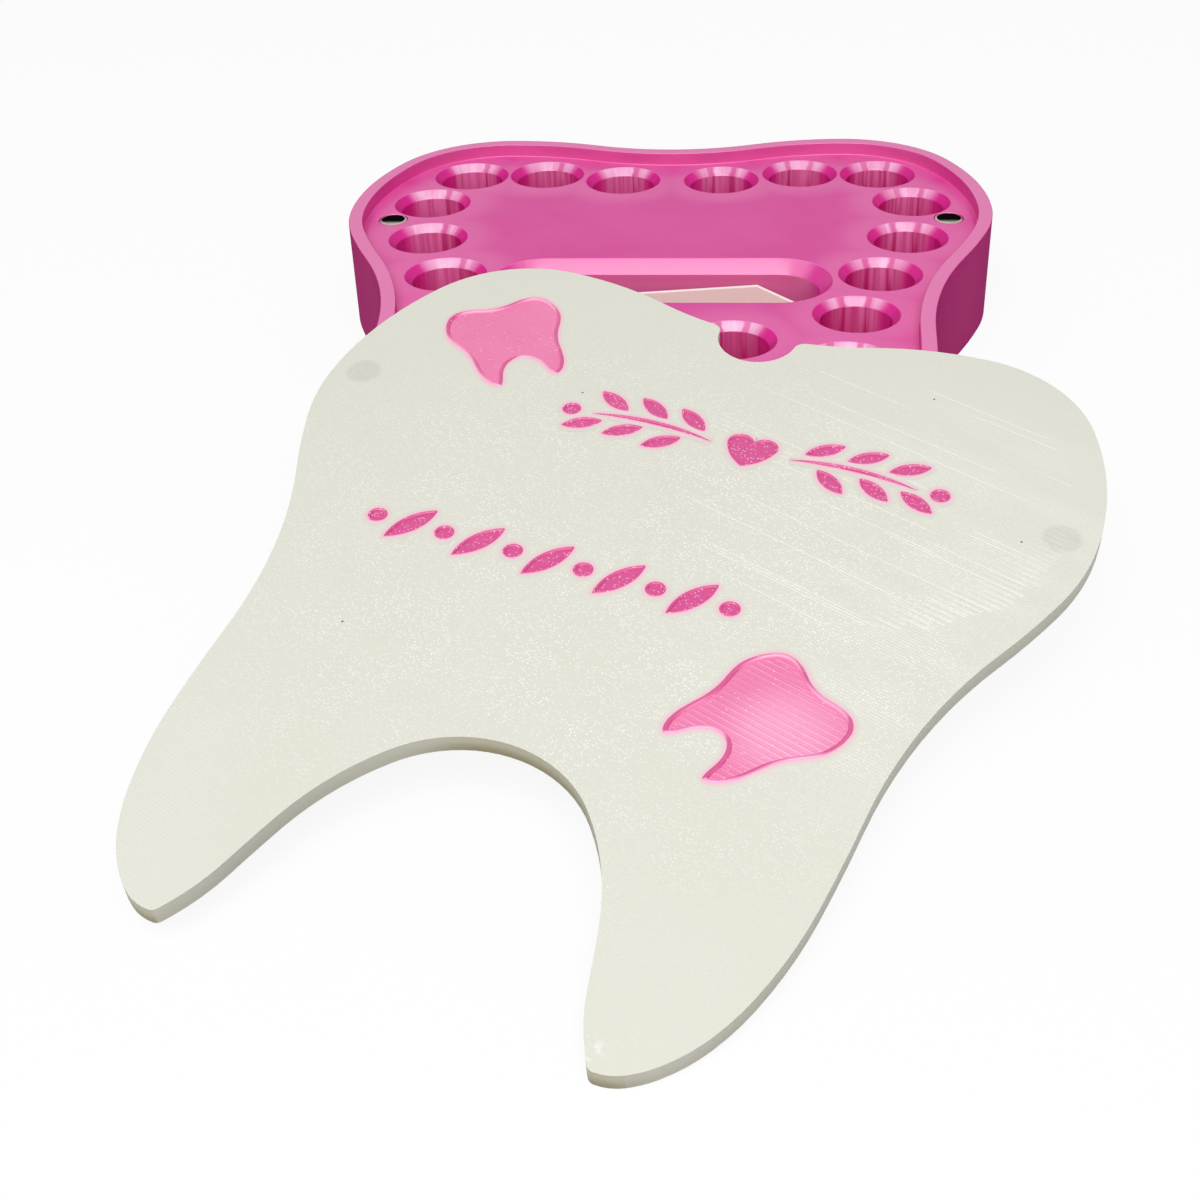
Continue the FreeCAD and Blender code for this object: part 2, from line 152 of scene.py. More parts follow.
class TrayLooks(bpy.types.PropertyGroup):
    """Finish of the pink tray."""

    plastic: colour("Plastic", "Silky pink of the tray", 229, 60, 161)
    # rim: the rim's flat top painted paler, a painted sheen
    rim: colour("Rim", "Paler pink of the rim's flat top", 244, 132, 190)
    # deep also serves as painted shade on the outer walls and on the compartment's end bevels
    deep: colour("Deep", "Deep pink of the streaks inside the pockets", 186, 10, 98)
    # pale is painted light: the ledge near the pockets, the lit tops of the pocket walls, the
    # compartment's bevel highlight and the highlight round each mouth
    pale: colour("Pale", "Pale pink round the pockets and of the compartment's bevel", 250, 132, 194)
    # bevel_highlight: a painted highlight on the pocket bevels that face the front
    bevel_highlight: colour("Sheen", "Palest pink of the pocket bevels that face the front", 255, 194, 230)
    # side: painted shade, the pockets' left and right ends painted a deeper, stronger pink
    side: colour("Side", "Strong pink of the pockets' left and right sides", 228, 26, 140)
    # reflection_haze: a painted reflection, dull pink on the inner walls that face the front
    reflection_haze: colour("Haze", "Dull pink of the inner walls that face the front", 219, 111, 160)
    roughness: amount("Roughness", "Roughness of the silky plastic", 0.45)
    gloss: amount("Gloss", "Silky gloss of flats and bevels", 0.85)
    layer: length("Layer", "Height of one printed layer", 0.2)
    raster: length("Raster", "Pitch of the printed lines on flat faces", 0.45)
    flats: bpy.props.IntProperty(
        name="Flats", description="Flats round the wall of a pocket", min=8, default=24
    )
    soft_edge: length("Soft edge", "Width of the softened edges", 0.15)


class LidLooks(bpy.types.PropertyGroup):
    """Finish of the pearly lid."""

    plastic: colour("Plastic", "Pearly white of the lid's top", 226, 225, 213)
    edge: colour("Edge", "Warmer white of the lid's edge below its top", 210, 204, 180)
    edge_shade: colour("Edge shade", "Darker foot of the lid's edge", 160, 150, 116)
    shade: colour("Magnet shade", "Grey of the magnets that show through the lid's skin", 210, 210, 199)
    # glint is painted: glitter and shining lines are painted white highlights
    glint: colour("Glint", "White of the glitter and of the lines that shine", 252, 252, 248)
    speck: colour("Speck", "Dark dust in the plastic", 84, 80, 72)
    roughness: amount("Roughness", "Roughness of the pearly plastic", 0.45)
    layer: length("Layer", "Height of one printed layer", 0.2)
    raster: length("Raster", "Pitch of the printed lines on the top", 0.44)
    raster_turn: angle("Raster turn", "Direction of the printed lines on the top", -15.0)
    flake: length("Flake", "Pitch of the glitter flakes", 0.34)


class InlayLooks(bpy.types.PropertyGroup):
    """Finish of the pink inlays and of the bead printed round each."""

    figure: colour("Figure", "Pink of the tooth figures", 238, 125, 173)
    pale: colour("Pale", "Paler pink where a figure shines", 255, 176, 210)
    # border: also painted shade, kept on beads that run front to back while those that run sideways are
    # painted paler
    border: colour("Border", "Deeper pink of the bead round a figure", 216, 84, 146)
    ornament: colour("Ornament", "Deeper pink of the ornaments", 214, 76, 144)
    # glint: painted glints of the sparkle
    glint: colour("Glint", "Pale pink of the sparkle", 255, 205, 226)
    bead: length("Bead", "Width of the bead printed round a tooth figure", 0.62)
    fine_bead: length("Fine bead", "Width of the bead printed round an ornament's piece", 0.4)
    rise: length("Rise", "How far a bead stands above its inlay", 0.32)
    glow: amount("Glow", "Strength of the pink that shows through the white beside an inlay", 0.8)
    glow_width: length("Glow width", "Width of the pink glow beside an inlay", 0.8)
    line_pitch: length("Line pitch", "Pitch of the printed lines that fill a figure", 0.43)
    line_rise: length("Line rise", "How far a printed line stands above its inlay", 0.036)


class SmallLooks(bpy.types.PropertyGroup):
    """Finish of the magnets and the card."""

    # nickel: a painted dark reflection on the magnets' faces
    nickel: colour("Nickel", "Dark nickel of the magnets' faces", 16, 13, 14)
    # bright: also painted as the highlight crescent on the near side
    bright: colour("Bright nickel", "Bright nickel of the magnets' edges", 206, 200, 190)
    chamfer: length("Chamfer", "Width of a magnet's rounded edge", 0.4)
    # card: painted shade, the white card painted a darker, pinkish white for the shade and pink bounce
    # in the compartment
    card: colour("Card", "White of the keepsake card", 217, 186, 182)
    # card_edge: a painted highlight along the card's cut edge
    card_edge: colour("Card edge", "Bright white of the card's cut edge", 252, 248, 240)
    card_bead: length("Card bead", "Width of the card's bright cut edge", 0.5)


class StageSetup(bpy.types.PropertyGroup):
    """Floor, light and camera."""

    floor: colour("Floor", "White of the floor and the background", 255, 255, 255)
    bounce: amount("Bounce", "Share of the light that the floor throws back on the object", 0.38)
    key: bpy.props.FloatProperty(
        name="Key", description="Power of the soft front light", unit="POWER", default=5.6
    )
    key_size: length("Key size", "Side of the soft front light", 650.0)
    key_place: bpy.props.FloatVectorProperty(
        name="Key place",
        description="Where the soft front light hangs",
        subtype="TRANSLATION",
        unit="LENGTH",
        default=(0.0, -0.55, 0.62),
    )
    fill: amount("Fill", "Level of the light from all round", 0.3)
    shadow: amount("Shadow", "How much of the shadow the white floor keeps", 0.1)
    camera_place: bpy.props.FloatVectorProperty(
        name="Camera place",
        description="Where the camera stands",
        subtype="TRANSLATION",
        unit="LENGTH",
        default=(0.014627, -0.269665, 0.132299),
    )
    camera_turn: angle("Camera turn", "Bearing of the view from +Y towards +X", -5.6084)
    camera_dip: angle("Camera dip", "Angle of the view below the horizon", 33.4557)
    camera_roll: angle("Camera roll", "Turn of the camera about its view", -2.2557)
    lens: bpy.props.FloatProperty(
        name="Lens",
        description="Focal length on a 36 mm frame",
        subtype="DISTANCE_CAMERA",
        default=53.1526,
    )


# Shader nodes


class Value:
    """A number that varies over a surface: sums on it add Math nodes."""

    def __init__(self, finish, socket):
        self.finish = finish
        self.socket = socket

    def __getitem__(self, output):
        """Another output of the same node."""
        return Value(self.finish, self.socket.node.outputs[output])

    def math(self, operation, *others):
        return self.finish.math(operation, self, *others)

    def __add__(self, other):
        return self.math("ADD", other)

    __radd__ = __add__

    def __sub__(self, other):
        return self.math("SUBTRACT", other)

    def __rsub__(self, other):
        return self.finish.math("SUBTRACT", other, self)

    def __mul__(self, other):
        return self.math("MULTIPLY", other)

    __rmul__ = __mul__

    def __truediv__(self, other):
        return self.math("DIVIDE", other)

    def __gt__(self, other):
        return self.math("GREATER_THAN", other)

    def __lt__(self, other):
        return self.math("LESS_THAN", other)

    def size(self):
        return self.math("ABSOLUTE")

    def between(self, low, high):
        """A smooth step from 0 at low to 1 at high."""
        sockets = {"Value": self, "From Min": low, "From Max": high}
        return self.finish.node("ShaderNodeMapRange", {"interpolation_type": "SMOOTHSTEP"}, sockets)


class Finish:
    """A node tree that is built from expressions."""

    def __init__(self, tree):
        self.tree = tree
        tree.nodes.clear()

    def node(self, kind, settings=None, sockets=None, output=0):
        """Adds a node: its settings first, then the values or links of its sockets."""
        made = self.tree.nodes.new(kind)
        for name, setting in (settings or {}).items():
            setattr(made, name, setting)
        for name, given in (sockets or {}).items():
            if isinstance(given, Value):
                self.tree.links.new(given.socket, made.inputs[name])
            else:
                made.inputs[name].default_value = given
        return Value(self, made.outputs[output] if made.outputs else None)

    def math(self, operation, *numbers):
        return self.node("ShaderNodeMath", {"operation": operation}, dict(enumerate(numbers)))

    def vector(self, operation, *vectors, output="Vector"):
        sockets = dict(enumerate(vectors))
        return self.node("ShaderNodeVectorMath", {"operation": operation}, sockets, output)

    def split(self, vector):
        parts = self.node("ShaderNodeSeparateXYZ", None, {"Vector": vector})
        return parts["X"], parts["Y"], parts["Z"]

    def join(self, x, y, z):
        return self.node("ShaderNodeCombineXYZ", None, {"X": x, "Y": y, "Z": z})

    def mix(self, share, first, second):
        """A colour between two."""
        return self.node("ShaderNodeMix", {"data_type": "RGBA"}, {0: share, 6: first, 7: second}, 2)

    def mix_vector(self, share, first, second):
        return self.node("ShaderNodeMix", {"data_type": "VECTOR"}, {0: share, 4: first, 5: second}, 1)

    def place(self, to_frame=None):
        """Place on the piece in millimetres, in the row's frame or another one."""
        spot = self.node("ShaderNodeTexCoord", None, None, "Object")
        turned = (to_frame or Matrix()).to_3x3()
        moved = (to_frame or Matrix()).translation / MM
        sockets = {
            "Vector": spot,
            "Location": moved,
            "Rotation": turned.to_euler(),
            "Scale": (1 / MM,) * 3,
        }
        return self.node("ShaderNodeMapping", {"vector_type": "POINT"}, sockets)

    def normal(self):
        return self.node("ShaderNodeNewGeometry", None, None, "Normal")

    def noise(self, vector, scale, detail=2.0, dimensions="3D"):
        sockets = {"Vector": vector, "Scale": scale, "Detail": detail}
        return self.node("ShaderNodeTexNoise", {"noise_dimensions": dimensions}, sockets)

    def cells(self, vector, pitch):
        """Distance in millimetres from the middle of the nearest cell, and a random number of it."""
        settings = {"voronoi_dimensions": "2D"}
        sockets = {"Vector": vector, "Scale": 1 / pitch}
        away = self.node("ShaderNodeTexVoronoi", settings, sockets, "Distance")
        pick = self.node("ShaderNodeSeparateColor", None, {"Color": away["Color"]}, "Red")
        return away * pitch, pick

    def random(self, number):
        return self.node("ShaderNodeTexWhiteNoise", {"noise_dimensions": "1D"}, {"W": number})

    def bump(self, height, depth, normal=None):
        """A bump of that depth in millimetres."""
        sockets = {"Height": height, "Distance": depth * MM}
        if normal:
            sockets["Normal"] = normal
        return self.node("ShaderNodeBump", None, sockets)

    def show(self, shader):
        self.node("ShaderNodeOutputMaterial", None, {"Surface": shader})

    def surface(self, base, roughness, normal, **more):
        """The material's surface, with any further sockets of its shader by name."""
        sockets = {"Base Color": base, "Roughness": roughness, "Normal": normal, **more}
        self.show(self.node("ShaderNodeBsdfPrincipled", None, sockets))


def new_finish(name):
    material = bpy.data.materials.new(name)
    material.use_nodes = True
    return material, Finish(material.node_tree)


def lines(finish, across, pitch):
    """Round-backed lines side by side, as a height from 0 to 1."""
    return finish.math("SINE", across * (2 * math.pi / pitch)) * 0.5 + 0.5


# The lid's own frame


def lid_frame():
    """The lid's frame at rest, midway between its magnets, and half the way between them."""
    centres = []
    for side in ("left", "right"):
        low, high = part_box(f"lid_magnet_{side}")
        centres.append((Vector(low) + Vector(high)) / 2)
    across = (centres[1] - centres[0]).normalized()
    broadest = max(nodes["lid"].data.polygons, key=lambda face: face.area).normal
    along = (broadest * math.copysign(1, broadest.z)).cross(across).normalized()
    turn = Matrix((across, along, across.cross(along))).transposed()
    reach = (centres[1] - centres[0]).length / 2
    return Matrix.Translation((centres[0] + centres[1]) / 2) @ turn.to_4x4(), reach


LID, MAGNET_REACH = lid_frame()
TO_LID = LID.inverted()


def dress(names, material):
    for name in names:
        nodes[name].material_slots[0].material = material


def soften(name, width, join_flats=False):
    """Rounds a piece's sharp edges, after its flat faces are joined where that is asked for."""
    piece = nodes[name]
    piece.modifiers.new("weld", "WELD").merge_threshold = WELD
    if join_flats:
        flats = piece.modifiers.new("flat_faces", "DECIMATE")
        flats.decimate_type = "DISSOLVE"
        flats.angle_limit = FLAT_ANGLE
    soft = piece.modifiers.new("soft_edges", "BEVEL")
    soft.width = width
    soft.segments = 2
    soft.limit_method = "ANGLE"
    soft.angle_limit = SHARP_ANGLE
    soft.use_clamp_overlap = False
    piece.modifiers.new("smooth_faces", "WEIGHTED_NORMAL").weight = 100


# The tray


def tooth_pockets(finish, x, y):
    """The number of the tooth pocket that a place lies in, or 0, and how far the nearest one is."""
    flat = finish.join(x, y, 0.0)
    number, nearest = 0.0, 100.0
    openings = frame["record"]["physics"]["openings"]
    pockets = [item["box_m"] for item in openings if item["name"].startswith("tooth_pocket")]
    for index, (low, high) in enumerate(pockets, start=1):
        centre = ((low[0] + high[0]) / 2 / MM, (low[1] + high[1]) / 2 / MM, 0.0)
        reach = (high[0] - low[0]) / MM * POCKET_REACH
        away = finish.vector("DISTANCE", flat, centre, output="Value")
        nearest = finish.math("MINIMUM", away, nearest)
        number = (away < reach) * float(index) + number
    return number, nearest


def tray_finish(looks):
    """Silky pink print: layer lines on walls, raster on flats, streaks round the pocket walls, with
    painted highlights, reflection and shade.
    """
    material, f = new_finish("silky_pink_print")
    spot = f.place()
    x, y, z = f.split(spot)
    normal = f.normal()
    nx, ny, nz = f.split(normal)
    level = nz.between(0.94, 0.995)
    pocket, nearest = tooth_pockets(f, x, y)
    in_pocket = (pocket > 0.5) * (1 - level)
    bevel = nz.between(0.2, 0.5) * (1 - level)
    wall = 1 - nz.size().between(0.2, 0.5)

    bearing = f.math("ARCTAN2", ny, nx)
    step = 2 * math.pi / looks.flats
    flat = f.math("FLOOR", (bearing + f.math("SINE", bearing * 5.0 + pocket) * 0.05) / step)
    tone = f.random(flat + pocket * 71.0)
    turned = (flat + 0.5 + (tone - 0.5) * 0.7) * step
    flank = f.math("SQRT", f.math("MAXIMUM", 1 - nz * nz, 0.0))
    facing = f.join(flank * f.math("COSINE", turned), flank * f.math("SINE", turned), nz)
    shaped = f.mix_vector(in_pocket * 0.85, normal, facing)

    streak = f.noise(f.join(bearing * 9.0, pocket * 3.7, z * 0.02), 1.0, 3.0)
    right = x > 0.0
    from_middle = (bearing - LEFT_SEAM - right * (RIGHT_SEAMS - LEFT_SEAM)).size()
    seam = 1 - (from_middle - right * SEAM_SPREAD).size().between(0.05, 0.12)
    ends = f.math("COSINE", bearing).size().between(0.5, 0.85)
    depth = LEDGE - z
    foot = depth.between(0.3, 1.5)
    lip = nz.between(0.76, 0.88) * (1 - nz.between(0.97, 0.995))
    front = f.math("SINE", bearing).between(-0.25, -0.75)
    inward = 1 - (nx * x + ny * y).between(-4.0, 4.0)
    cloud = f.noise(spot, 0.06, 3.0).between(0.3, 0.7)
    layers = lines(f, z, looks.layer / MM) * (1 - level)
    # Painted light: the ledge is painted paler near the pockets, as if lit by the pocket walls
    ring = (1 - nearest.between(8.0, 14.0)) * level
    top = z.between(RIM - 0.6, RIM - 0.2) * level
    base = f.mix(cloud * 0.12 + ring * 0.35, looks.plastic, looks.pale)
    # Painted sheen: the rim's flat top is painted paler
    base = f.mix(top * 0.85, base, looks.rim)
    dark = streak.between(0.52, 0.36) * 0.3 + (tone < 0.3) * 0.25 + layers * 0.12
    dark = dark * (wall * 0.85 + 0.15) + seam * (wall * 0.5 + 0.2)
    # Painted reflection: inner walls that face the front are painted a dull, greyer pink
    painted_reflection = wall * front * (1 - ends * in_pocket) * (0.85 - in_pocket * 0.2 - (depth < 0.0) * 0.5)
    base = f.mix(painted_reflection, base, looks.reflection_haze)
    base = f.mix(in_pocket * f.math("MINIMUM", dark, 0.95), base, looks.deep)
    # Painted shade: the left and right ends of each pocket are painted a stronger, deeper pink
    base = f.mix(in_pocket * ends * (wall * 0.15 + 0.45), base, looks.side)
    # Painted light: the upper part of the front-facing pocket walls is painted paler, fading with depth
    light = streak.between(0.44, 0.6)
    lit = wall * in_pocket * front * (1 - ends)
    base = f.mix(lit * (1 - depth.between(1.2, 6.5)) * (0.2 + light * 0.5), base, looks.pale)
    # Painted highlight: bevels that face the front are painted pale, palest in the pockets
    bright = bevel * front * (1 - seam * in_pocket * 0.6) * (1 - ends)
    bright = bright * (1 - in_pocket * (1 - light) * 0.2)
    bright = bright * (0.65 + in_pocket * 0.3 - (tone < 0.4) * 0.25 - foot * 0.25 * in_pocket)
    base = f.mix(bright, base, f.mix(in_pocket, looks.pale, looks.bevel_highlight))
    # Painted shade: the compartment's end bevels are painted a little deeper
    base = f.mix(bevel * (1 - in_pocket) * ends * 0.1, base, looks.deep)
    # Painted highlight: a thin pale ring on the softened edge round each mouth
    base = f.mix(lip * 0.5, base, looks.pale)
    # Painted shade: the outer walls are painted deeper pink
    base = f.mix(wall * (1 - inward) * 0.42, base, looks.deep)

    across = (x + y) * math.sqrt(0.5) + f.noise(spot, 0.4) * 0.2
    raster = lines(f, across, looks.raster / MM) * level
    grain = f.noise(spot, 6.0, 3.0)
    height = raster * 0.4 + layers * 0.4 + grain * 0.5
    inner = inward * (0.5 + front * 0.5) * (1 - ends * in_pocket * 0.8)
    coat = level * 0.5 + bevel * (1 - ends * (in_pocket * 0.3 + 0.7)) + wall * inner + 0.05
    f.surface(
        base,
        looks.roughness + grain * 0.12,
        f.bump(height, 0.02, shaped),
        **{
            "Specular IOR Level": 0.0,
            "Coat Weight": coat * (1 - seam * in_pocket * 0.8) * looks.gloss,
            "Coat Roughness": 0.26,
            "Coat IOR": 1.7,
        },
    )
    return material


class DressTray(bpy.types.Operator):
    """Gives the tray its silky pink print and soft edges"""

    bl_idname = "tooth_box.dress_tray"
    bl_label = "Dress the tray"

    def execute(self, context):
        looks = context.scene.tooth_box_tray
        dress(["tray"], tray_finish(looks))
        soften("tray", looks.soft_edge)
        return {"FINISHED"}


# The lid


def right_root_tip():
    """The tip of the lid's right root in the lid's frame, in millimetres."""
    places = [TO_LID @ vertex.co for vertex in nodes["lid"].data.vertices]
    return min((place for place in places if place.x > 0), key=lambda place: place.y) / MM


def lid_finish(looks):
    """Pearly white print with glitter, printed lines and the shades of two magnets; painted highlights
    and edge shade.
    """
    material, f = new_finish("pearly_white_print")
    spot = f.place(TO_LID)
    x, y, z = f.split(spot)
    normal = f.normal()
    facing = f.vector("DOT_PRODUCT", normal, LID.col[2].xyz, output="Value")
    level = facing.size().between(0.6, 0.9)
    top = facing.between(0.6, 0.9)

    pitch = looks.raster / MM
    across = y * math.cos(looks.raster_turn) - x * math.sin(looks.raster_turn)
    along = x * math.cos(looks.raster_turn) + y * math.sin(looks.raster_turn)
    ridge = lines(f, across, pitch)
    line = f.math("FLOOR", across / pitch + 0.25)
    crown = x.between(2.0, 34.0) * y.between(-62.0, -34.0) * (1 - y.between(10.0, 30.0))
    root = (1 - x.between(-36.0, -20.0)) * (1 - y.between(-70.0, -50.0)) * 0.5
    patch = f.noise(f.join(along * 0.06, across * 0.16, 3.0), 1.0, 2.0).between(0.38, 0.62)
    shows = f.math("MAXIMUM", crown, root) * (patch * 0.75 + 0.25) * top
    from_bend = f.vector("DISTANCE", f.join(x, y, 0.0), BEND_MIDDLE, output="Value")
    pair = f.math("FLOOR", across / pitch / 2 + 0.25)
    turn_back = from_bend + f.random(pair) * 1.4
    inside = 1 - turn_back.between(BEND_RADIUS, BEND_RADIUS + 0.3)
    run = f.noise(f.join(along * 0.028, line * 9.7, 0.0), 1.0, 1.0).between(0.5, 0.55)
    single = run * (f.random(line) > 0.68) * ridge.between(0.7, 0.95) * y.between(-60.0, -30.0)
    single = single * x.between(-14.0, 12.0) * inside
    comb = turn_back.between(18.0, BEND_RADIUS) * inside
    comb = comb * lines(f, across, pitch * 2).between(0.55, 0.85)
    comb = comb * x.between(30.0, 38.0) * (1 - y.between(-16.0, 10.0))

    gap, pick = f.cells(spot, looks.flake / MM)
    centre = f.vector("LENGTH", f.join(x * 0.9, y + 24.0, 0.0), output="Value")
    dense = (1 - centre.between(22.0, 62.0)) * 0.85 + 0.15
    drift = f.noise(spot, 0.14, 3.0).between(0.36, 0.62) * 0.5 + 0.5
    spark = pick.between(0.45, 0.95) * (1 - gap.between(0.08, 0.14)) * dense * drift * top
    dust, dust_pick = f.cells(spot, 9.0)
    speck = (dust < 0.14) * (dust_pick > 0.95) * top
    tip = right_root_tip()
    # Painted glint: a white, glossy patch near the right root's tip
    tip_glint_middle = (tip.x - 1.2, tip.y + 2.2, tip.z)
    from_tip_glint = f.vector("DISTANCE", spot, tip_glint_middle, output="Value")
    painted_tip_glint = (1 - from_tip_glint.between(1.8, 3.0)) * f.noise(spot, 0.9, 2.0).between(0.5, 0.56)

    cloud = f.noise(spot, 0.05, 4.0).between(0.3, 0.7)
    base = f.mix(cloud * 0.2, looks.plastic, f.mix(0.3, looks.plastic, looks.edge))
    # Painted shade: the edge is painted darker towards its foot, and painted lighter on its flanks that
    # face sideways
    flank = f.vector("DOT_PRODUCT", normal, LID.col[0].xyz, output="Value").between(0.2, 0.8)
    edge = f.mix(z.between(0.9, -0.9), looks.edge, looks.edge_shade)
    base = f.mix((1 - level) * (1 - flank * 0.7), base, edge)
    from_magnet = f.vector("LENGTH", f.join(x.size() - MAGNET_REACH / MM, y, 0.0), output="Value")
    base = f.mix((1 - from_magnet.between(1.9, 2.9)) * top * 0.85, base, looks.shade)
    # Painted highlights: the glitter, the shining lines, the comb and the tip glint are painted white
    light = ridge * shows * 0.34 + single * 0.65 + comb * 0.4 + spark + painted_tip_glint
    base = f.mix(f.math("MINIMUM", light, 1.0) * top, base, looks.glint)
    base = f.mix(speck, base, looks.speck)

    layers = lines(f, z, looks.layer / MM) * (1 - level)
    grain = f.noise(spot, 5.0, 3.0)
    height = ridge * (shows * 0.8 + 0.15) * level + layers * 0.8 + grain * 0.5 + painted_tip_glint * 2.0
    rough = looks.roughness - spark * 0.15 - single * 0.15 - painted_tip_glint * 0.3
    f.surface(base, rough, f.bump(height, 0.02), **{"Specular IOR Level": 0.4})
    return material


class DressLid(bpy.types.Operator):
    """Gives the lid its pearly white print"""

    bl_idname = "tooth_box.dress_lid"
    bl_label = "Dress the lid"

    def execute(self, context):
        dress(["lid"], lid_finish(context.scene.tooth_box_lid))
        return {"FINISHED"}


# Inlays, their beads and the printed lines that fill the figures


def top_outlines(name):
    """Closed outlines of an inlay's top faces, anticlockwise in the lid's frame."""
    mesh = bmesh.new()
    mesh.from_mesh(nodes[name].data)
    mesh.transform(TO_LID)
    bmesh.ops.remove_doubles(mesh, verts=mesh.verts, dist=WELD)
    mesh.normal_update()
    top = {face for face in mesh.faces if face.normal.z > 0.9}
    following = {}
    for edge in mesh.edges:
        ours = [loop for loop in edge.link_loops if loop.face in top]
        if len(ours) == 1:
            following[ours[0].vert] = ours[0].link_loop_next.vert
    outlines = []
    while following:
        start, vert = following.popitem()
        outline = [start.co.copy()]
        while vert is not start:
            outline.append(vert.co.copy())
            vert = following.pop(vert)
        outlines.append(outline)
    mesh.free()
    if not outlines:
        raise RuntimeError(f"{name} has no top outline")
    return outlines


def even_points(outline, pitch):
    """Points at an even pitch along a closed outline."""
    runs = [(end - start).length for start, end in zip(outline, outline[1:] + outline[:1])]
    count = max(12, round(sum(runs) / pitch))
    points = []
    index, passed = 0, 0.0
    for number in range(count):
        target = sum(runs) * number / count
        while passed + runs[index] < target:
            passed += runs[index]
            index += 1
        start, end = outline[index], outline[(index + 1) % len(outline)]
        points.append(start.lerp(end, (target - passed) / runs[index]))
    return points


def shifted(points, inset):
    """Each point of a closed outline moved inwards, or outwards by a negative inset."""
    moved = []
    for before, here, after in zip(points[-1:] + points[:-1], points, points[1:] + points[:1]):
        ahead = (after - before).normalized()
        moved.append(here + Vector((-ahead.y, ahead.x, 0.0)) * inset)
    return moved


def spread(points, reach):
    """Each point of a closed outline moved outwards, less where another part of it is near."""
    moved = []
    for here, out in zip(points, shifted(points, -reach)):
        clear = min((out - other).length for other in points)
        moved.append(here.lerp(out, min(1.0, clear / reach)))
    return moved


def inset_points(points, inset):
    """A closed outline moved inwards, without the points that would cross over."""
    return [
        spot
        for spot in shifted(points, inset)
        if min((spot - other).length for other in points) > inset * 0.96
    ]


def zigzag_paths(outline, turn, pitch):
    """Paths of the printed lines that fill an outline, turning back at its edge."""
    ahead = Vector((math.cos(turn), math.sin(turn), 0.0))
    aside = Vector((-math.sin(turn), math.cos(turn), 0.0))
    corners = [(spot.dot(ahead), spot.dot(aside)) for spot in outline]
    sides = list(zip(corners, corners[1:] + corners[:1]))
    low = min(across for _, across in corners)
    high = max(across for _, across in corners)
    paths, open_paths = [], []
    for number in range(int((high - low) / pitch)):
        across = low + (number + 0.5) * pitch
        crossings = sorted(
            start[0] + (end[0] - start[0]) * (across - start[1]) / (end[1] - start[1])
            for start, end in sides
            if (start[1] < across) != (end[1] < across)
        )
        waiting, open_paths = open_paths, []
        for left, right in zip(crossings[::2], crossings[1::2]):
            run = [ahead * left + aside * across, ahead * right + aside * across]
            if number % 2:
                run.reverse()
            path = next((path for path in waiting if (path[-1] - run[0]).length < 2.5 * pitch), None)
            if path is None:
                path = []
                paths.append(path)
            else:
                waiting.remove(path)
            path += run
            open_paths.append(path)
    return paths


def sweep(name, paths, width, crest, closed=True, squash=1.0, frame_of_paths=LID):
    """Round printed beads along paths in the lid's frame or another, with backs up to the crest."""
    curve = bpy.data.curves.new(name, "CURVE")
    curve.dimensions = "3D"
    curve.bevel_depth = width / 2
    curve.bevel_resolution = 3
    curve.use_fill_caps = True
    for path in paths:
        spline = curve.splines.new("POLY")
        spline.points.add(len(path) - 1)
        spline.use_cyclic_u = closed
        for control, spot in zip(spline.points, path):
            control.co = (spot.x, spot.y, 0.0, 1.0)
    drawn = bpy.data.objects.new(f"{name}_path", curve)
    mesh = bpy.data.meshes.new_from_object(drawn)
    bpy.data.objects.remove(drawn)
    bpy.data.curves.remove(curve)
    mesh.name = name
    flatten = Matrix.Diagonal((1.0, 1.0, squash, 1.0))
    raised = Matrix.Translation((0.0, 0.0, crest - width / 2 * squash))
    mesh.transform(frame_of_paths @ raised @ flatten)
    mesh.shade_smooth()
    beads = bpy.data.objects.new(name, mesh)
    bpy.context.collection.objects.link(beads)
    return beads


def inlay_beads(name, *drawn, **more):
    """Beads of the inlays' plastic on the lid."""
    beads = sweep(name, *drawn, **more)
    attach(beads, "lid")
    return beads


def border_paths(outlines, width, overlap):
    """Paths of beads along outlines, each reaching over its outline by an overlap."""
    inset = width / 2 - overlap
    return [inset_points(even_points(outline, width / 3), inset) for outline in outlines]


def mark_runs(beads, paths):
    """Stores at each point of the beads how much they run sideways there, from 0 to 1, for painting the
    sideways beads paler as painted light.
    """
    spots, runs = [], []
    for path in paths:
        for before, here, after in zip(path[-1:] + path[:-1], path, path[1:] + path[:1]):
            spots.append(here)
            runs.append(abs((after - before).normalized().x))
    tree = KDTree(len(spots))
    for number, spot in enumerate(spots):
        tree.insert(spot, number)
    tree.balance()
    marks = beads.data.attributes.new("sideways", "FLOAT", "POINT")
    for vertex, mark in zip(beads.data.vertices, marks.data):
        mark.value = runs[tree.find(TO_LID @ vertex.co)[1]]


def glow_finish(looks, plastic):
    """White plastic with the pink that shows through it beside an inlay."""
    material, f = new_finish("pink_glow_print")
    fade = f.node("ShaderNodeAttribute", {"attribute_name": "fade"}, None, "Fac")
    grain = f.noise(f.place(TO_LID), 5.0, 3.0)
    base = f.mix(f.math("POWER", fade, 1.4) * looks.glow, plastic, looks.pale)
    f.surface(base, 0.45, f.bump(grain, 0.01), **{"Specular IOR Level": 0.4})
    return material


